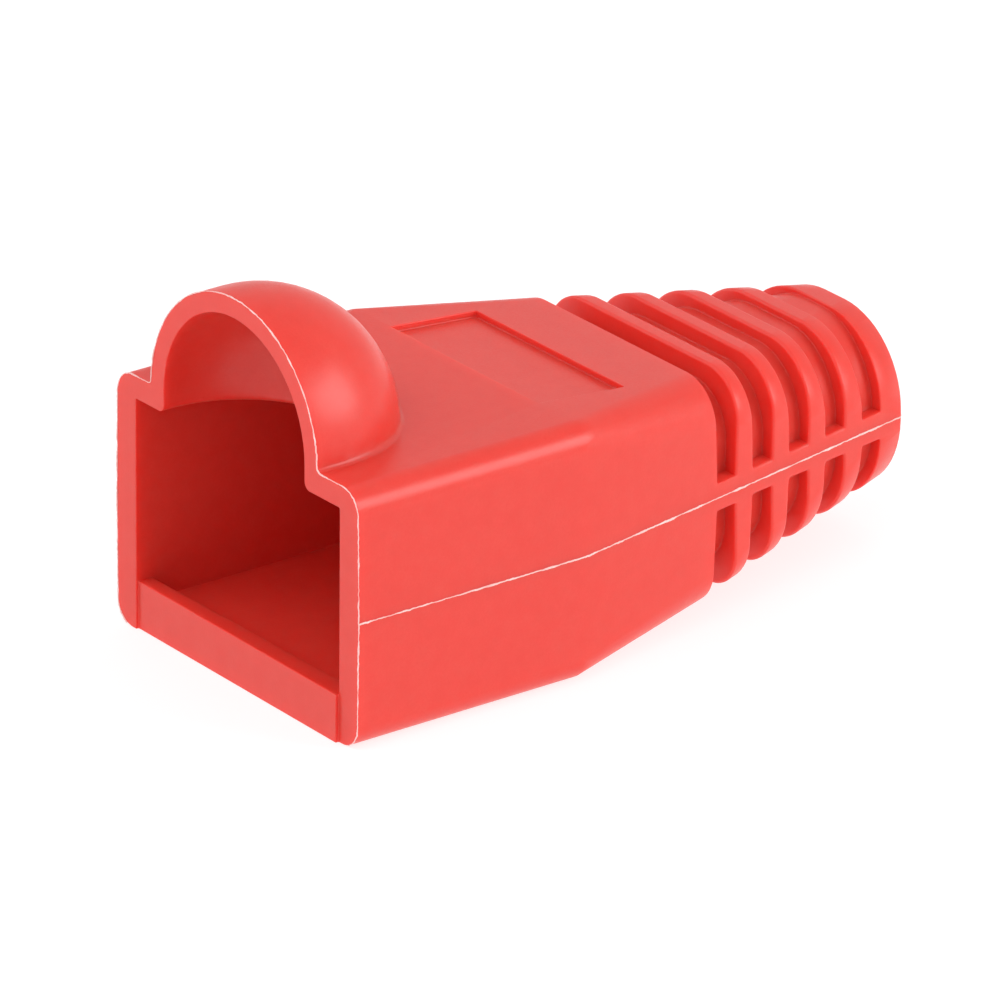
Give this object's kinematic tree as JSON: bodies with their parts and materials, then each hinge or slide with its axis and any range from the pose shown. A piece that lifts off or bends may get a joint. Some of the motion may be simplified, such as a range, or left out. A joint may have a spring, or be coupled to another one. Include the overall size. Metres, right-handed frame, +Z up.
{
  "type": "rj45 strain relief boot",
  "caption": "Push-on strain relief boot for a modular data plug: open box mouth with a domed latch hood, tapering to a ribbed, grooved cable sleeve.",
  "frame": {"origin": "on the flat underside's plane, at the middle of the length and the width", "axes": "-Y is out of the plug's mouth, +Y is out of the cable end, +Z is up through the latch hood, +X is the right hand side seen from behind the mouth looking along +Y"},
  "size_m": [0.014, 0.0264, 0.0144],
  "materials": {
    "boot": "soft matte PVC, fine grained, with thin pale flash along the mould's parting line"
  },
  "bodies": {
    "root": {"boot": "boot"}
  },
  "joints": []
}
